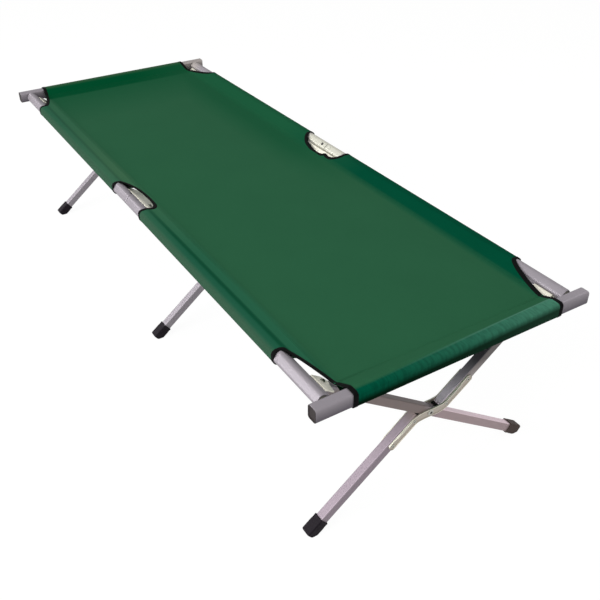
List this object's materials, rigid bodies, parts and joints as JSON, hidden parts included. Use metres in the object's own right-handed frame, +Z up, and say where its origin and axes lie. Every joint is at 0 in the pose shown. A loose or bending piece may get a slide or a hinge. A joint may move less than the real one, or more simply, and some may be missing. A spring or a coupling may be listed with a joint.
{
  "type": "folding camping cot",
  "caption": "Folding camp bed: fabric stretched between two tube rails on scissor legs, held open by pull-off end bars.",
  "frame": {"origin": "on the floor below the middle of the bed", "axes": "+X across the cot, +Y along it towards the head end, +Z up"},
  "size_m": [0.6912, 1.9032, 0.4496],
  "materials": {
    "satin_aluminium": "satin anodised, light grey with a faint lilac cast",
    "zinc_plated_steel": "zinc plated, warm light grey, semi-gloss",
    "rivet_steel": "bright zinc",
    "black_rubber": "satin moulded black",
    "dark_grey_plastic": "matt dark grey",
    "black_binding_tape": "woven tape",
    "green_polyester": "coated polyester weave, matt with a soft sheen"
  },
  "bodies": {
    "bed": {"bed_sheet": "green_polyester", "binding_foot_left": "black_binding_tape", "binding_middle_left": "black_binding_tape", "binding_head_left": "black_binding_tape", "binding_foot_right": "black_binding_tape", "binding_middle_right": "black_binding_tape", "binding_head_right": "black_binding_tape"},
    "left_frame": {"rail_left_foot": "satin_aluminium", "rail_left_head": "satin_aluminium", "rail_tongue_left_foot": "rivet_steel", "rail_tongue_left_head": "rivet_steel", "rail_link_left": "rivet_steel", "leg_bracket_left_foot": "zinc_plated_steel", "leg_bracket_left_centre": "zinc_plated_steel", "leg_bracket_left_head": "zinc_plated_steel", "leg_pin_left_foot": "rivet_steel", "leg_pin_left_centre": "rivet_steel", "leg_pin_left_head": "rivet_steel", "sleeve_left_foot": "green_polyester", "sleeve_left_head": "green_polyester", "leg_whole_foot": "satin_aluminium", "leg_whole_centre": "satin_aluminium", "leg_whole_head": "satin_aluminium", "foot_cap_whole_foot": "black_rubber", "foot_cap_whole_centre": "black_rubber", "foot_cap_whole_head": "black_rubber"},
    "right_frame": {"rail_right_foot": "satin_aluminium", "rail_right_head": "satin_aluminium", "rail_tongue_right_foot": "rivet_steel", "rail_tongue_right_head": "rivet_steel", "rail_link_right": "rivet_steel", "leg_bracket_right_foot": "zinc_plated_steel", "leg_bracket_right_centre": "zinc_plated_steel", "leg_bracket_right_head": "zinc_plated_steel", "leg_pin_right_foot": "rivet_steel", "leg_pin_right_centre": "rivet_steel", "leg_pin_right_head": "rivet_steel", "sleeve_right_foot": "green_polyester", "sleeve_right_head": "green_polyester", "leg_upper_foot": "satin_aluminium", "leg_upper_centre": "satin_aluminium", "leg_upper_head": "satin_aluminium", "leg_lower_foot": "satin_aluminium", "leg_lower_centre": "satin_aluminium", "leg_lower_head": "satin_aluminium", "foot_cap_split_foot": "black_rubber", "foot_cap_split_centre": "black_rubber", "foot_cap_split_head": "black_rubber", "crossing_plates_foot": "zinc_plated_steel", "crossing_plates_centre": "zinc_plated_steel", "crossing_plates_head": "zinc_plated_steel", "crossing_pin_foot": "rivet_steel", "crossing_pin_centre": "rivet_steel", "crossing_pin_head": "rivet_steel"},
    "foot_bar": {"end_bar_foot": "satin_aluminium", "bar_plug_foot_left": "dark_grey_plastic", "bar_plug_foot_right": "dark_grey_plastic"},
    "head_bar": {"end_bar_head": "satin_aluminium", "bar_plug_head_left": "dark_grey_plastic", "bar_plug_head_right": "dark_grey_plastic"}
  },
  "joints": [
    {"name": "fold_left", "type": "hinge", "parent": "bed", "child": "left_frame", "pos_m": [0, 0, 0.214], "axis": [0, 1, 0], "range_deg": [0, 51], "deforming": ["bed_sheet", "binding_foot_left", "binding_middle_left", "binding_head_left", "binding_foot_right", "binding_middle_right", "binding_head_right"]},
    {"name": "fold_right", "type": "hinge", "parent": "bed", "child": "right_frame", "pos_m": [0, 0, 0.214], "axis": [0, -1, 0], "range_deg": [0, 51]},
    {"name": "foot_bar_slide", "type": "slide", "parent": "bed", "child": "foot_bar", "axis": [0, -1, 0], "range_m": [0, 0.4]},
    {"name": "head_bar_slide", "type": "slide", "parent": "bed", "child": "head_bar", "axis": [0, 1, 0], "range_m": [0, 0.4]}
  ],
  "couplings": [
    {"joint": "fold_right", "follows": "fold_left", "ratio": 1},
    {"joint": "foot_bar_slide", "follows": "fold_left", "m_per_rad": 0.4493},
    {"joint": "head_bar_slide", "follows": "fold_left", "m_per_rad": 0.4493}
  ]
}
